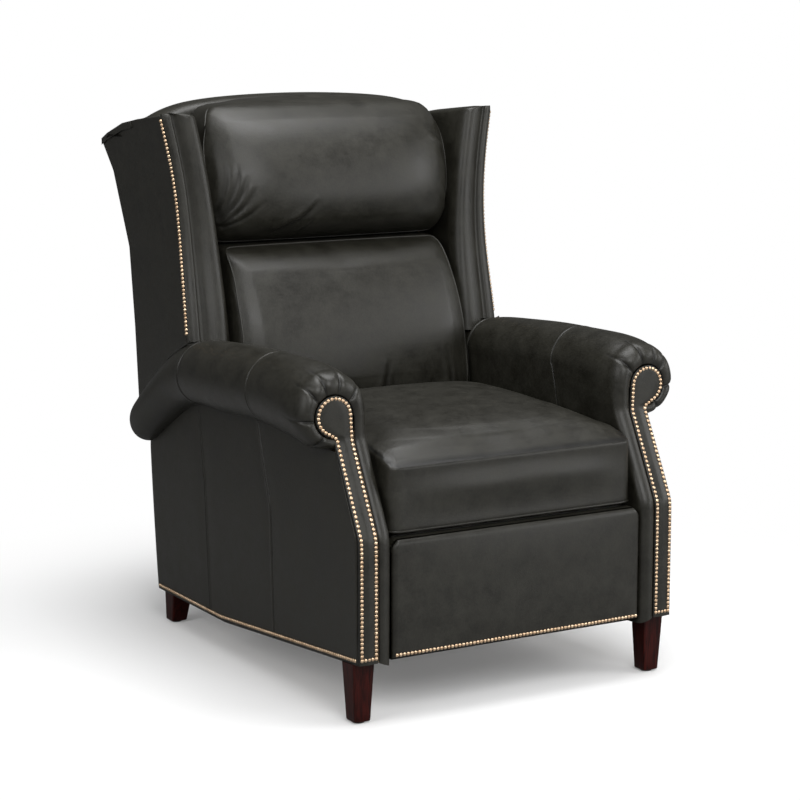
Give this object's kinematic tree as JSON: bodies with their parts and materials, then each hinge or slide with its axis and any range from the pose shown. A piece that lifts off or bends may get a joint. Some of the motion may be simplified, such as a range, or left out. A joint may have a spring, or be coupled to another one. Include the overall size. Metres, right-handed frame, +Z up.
{
  "type": "wingback recliner",
  "caption": "Free-standing leather wingback recliner with rolled arms, nail trim, a back that tilts and a footrest that folds out.",
  "frame": {"origin": "on the floor, under the middle of the chair", "axes": "+X to the chair's left, -Y to its front, +Z up"},
  "size_m": [0.8564, 1.078, 1.12],
  "materials": {
    "leather": "semi-gloss upholstery leather",
    "nails": "pale antique brass",
    "dark_wood": "dark satin stain",
    "frame_wood": "bare frame wood",
    "painted_steel": "black satin paint",
    "bright_steel": "zinc plated",
    "webbing": "woven webbing",
    "glide": "moulded"
  },
  "bodies": {
    "base": {"leg_front_left": "dark_wood", "leg_front_right": "dark_wood", "leg_rear_left": "dark_wood", "leg_rear_right": "dark_wood", "leg_bolts": "bright_steel", "foot_glides": "glide", "arm_frame_left": "frame_wood", "arm_frame_right": "frame_wood", "arm_inside_left": "leather", "arm_inside_right": "leather", "arm_outside_left": "leather", "arm_outside_right": "leather", "arm_facing_left": "leather", "arm_facing_right": "leather", "arm_roll_left": "leather", "arm_roll_right": "leather", "arm_front_nails": "nails", "side_hem_nails": "nails", "rear_apron": "leather", "rear_rail": "frame_wood", "front_stretcher": "frame_wood", "mechanism_rail_left": "painted_steel", "mechanism_rail_right": "painted_steel", "hinge_pins": "bright_steel"},
    "seat": {"seat_runner_left": "painted_steel", "seat_runner_right": "painted_steel", "seat_pins": "bright_steel", "seat_side_rails": "frame_wood", "seat_cross_rails": "frame_wood", "seat_webbing": "webbing", "seat_cushion": "leather"},
    "lower_links": {"lower_link_left": "painted_steel", "lower_link_right": "painted_steel", "link_tube": "painted_steel", "knee_pins": "bright_steel"},
    "upper_links": {"upper_link_left": "painted_steel", "upper_link_right": "painted_steel"},
    "footrest": {"footrest_brackets": "painted_steel", "footrest_pins": "bright_steel", "footrest_board": "frame_wood", "footrest_pad": "leather", "footrest_nails": "nails"},
    "back": {"back_stile_left": "frame_wood", "back_stile_right": "frame_wood", "back_rail_low": "frame_wood", "back_rail_top": "frame_wood", "back_webbing": "webbing", "hinge_arms": "painted_steel", "outside_back": "leather", "crest_pad": "leather", "wing_frame_left": "frame_wood", "wing_frame_right": "frame_wood", "wing_outside_left": "leather", "wing_outside_right": "leather", "wing_pad_left": "leather", "wing_pad_right": "leather", "wing_nails": "nails", "back_cushion": "leather", "head_pillow": "leather"}
  },
  "joints": [
    {"name": "footrest_open", "type": "hinge", "parent": "seat", "child": "lower_links", "pos_m": [0, -0.319, 0.3], "axis": [-1, 0, 0], "range_deg": [0, 64]},
    {"name": "seat_glide", "type": "slide", "parent": "base", "child": "seat", "axis": [0, -1, 0], "range_m": [0, 0.0752]},
    {"name": "link_fold", "type": "hinge", "parent": "lower_links", "child": "upper_links", "pos_m": [0, -0.37, 0.135], "axis": [-1, 0, 0], "range_deg": [-75.95, 0]},
    {"name": "board_turn", "type": "hinge", "parent": "upper_links", "child": "footrest", "pos_m": [0, -0.479, 0.29], "axis": [-1, 0, 0], "range_deg": [0, 96.95]},
    {"name": "recline", "type": "hinge", "parent": "base", "child": "back", "pos_m": [0, 0.267, 0.3], "axis": [-1, 0, 0], "range_deg": [0, 26], "stiffness_Nm_per_rad": 80, "springref_deg": -1.72}
  ],
  "couplings": [
    {"joint": "seat_glide", "follows": "footrest_open", "m_per_rad": 0.067143},
    {"joint": "link_fold", "follows": "footrest_open", "ratio": -1.1857},
    {"joint": "board_turn", "follows": "footrest_open", "ratio": 1.5138}
  ]
}
